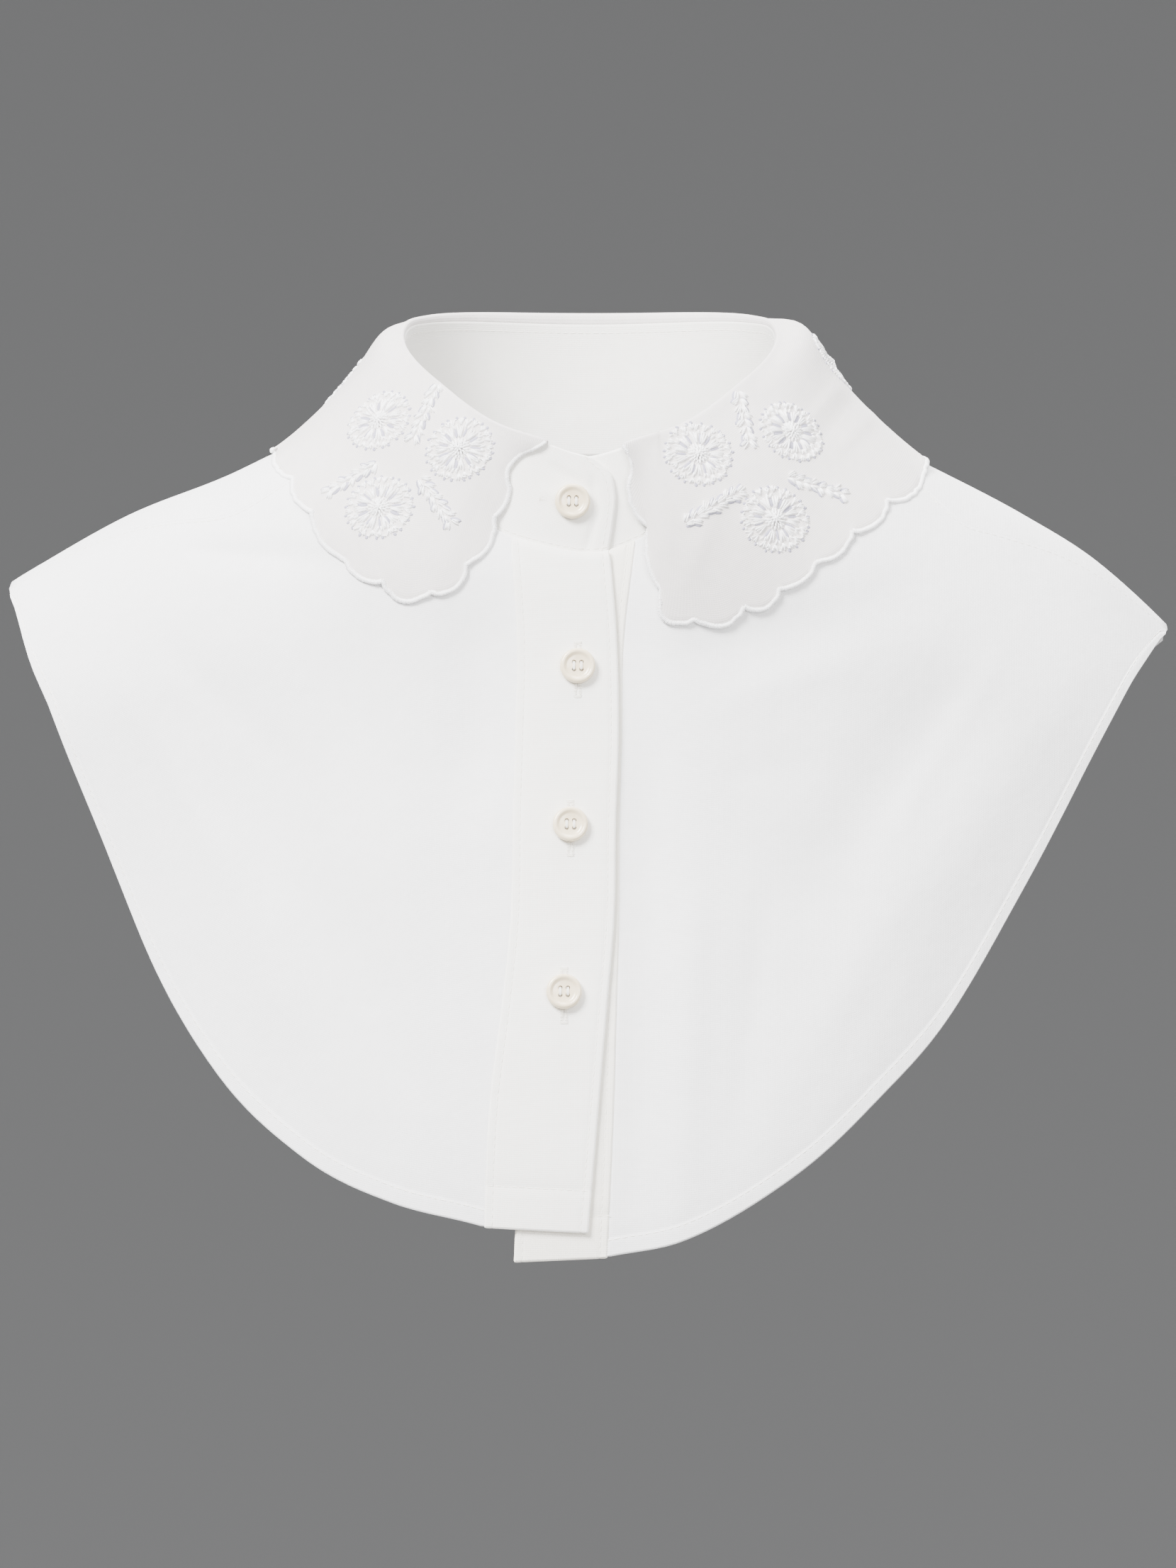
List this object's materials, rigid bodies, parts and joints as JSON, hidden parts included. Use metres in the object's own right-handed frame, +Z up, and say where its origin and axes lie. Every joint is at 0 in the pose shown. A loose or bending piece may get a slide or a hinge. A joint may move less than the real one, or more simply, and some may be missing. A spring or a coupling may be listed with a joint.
{
  "type": "detachable embroidered shirt collar",
  "caption": "Detachable shirt collar with bib fronts and back, buttoned placket, stand and turned-down scalloped leaf with raised flowers, filled out as worn.",
  "frame": {"origin": "the middle of the wearer's neck, where the collar is held, level with the side of the neck seam's lower half", "axes": "+Z up, -Y to the front of the wearer, +X to the wearer's left"},
  "size_m": [0.3775, 0.185, 0.3081],
  "materials": {
    "poplin": "matt plain-woven white cotton",
    "band_poplin": "matt folded white cotton band with edge stitching",
    "tucked_band": "matt folded white cotton band that lies under the other",
    "stand_poplin": "matt interfaced white cotton",
    "leaf_poplin": "matt interfaced white cotton with a corded edge",
    "embroidery_floss": "satin stitches of white floss with a soft sheen",
    "pearl_button": "polished cream pearl"
  },
  "bodies": {
    "root": {"front_right": "poplin", "front_left": "poplin", "back": "poplin", "placket_right": "band_poplin", "placket_left": "tucked_band", "collar_stand": "stand_poplin", "collar_leaf": "leaf_poplin", "flower_1": "embroidery_floss", "flower_2": "embroidery_floss", "flower_3": "embroidery_floss", "flower_4": "embroidery_floss", "flower_5": "embroidery_floss", "flower_6": "embroidery_floss", "flower_7": "embroidery_floss", "flower_8": "embroidery_floss", "flower_9": "embroidery_floss", "flower_10": "embroidery_floss", "flower_11": "embroidery_floss", "flower_12": "embroidery_floss", "sprig_1": "embroidery_floss", "sprig_2": "embroidery_floss", "sprig_3": "embroidery_floss", "sprig_4": "embroidery_floss", "sprig_5": "embroidery_floss", "sprig_6": "embroidery_floss", "sprig_7": "embroidery_floss", "button_1": "pearl_button", "button_2": "pearl_button", "button_3": "pearl_button", "button_4": "pearl_button"}
  },
  "joints": []
}
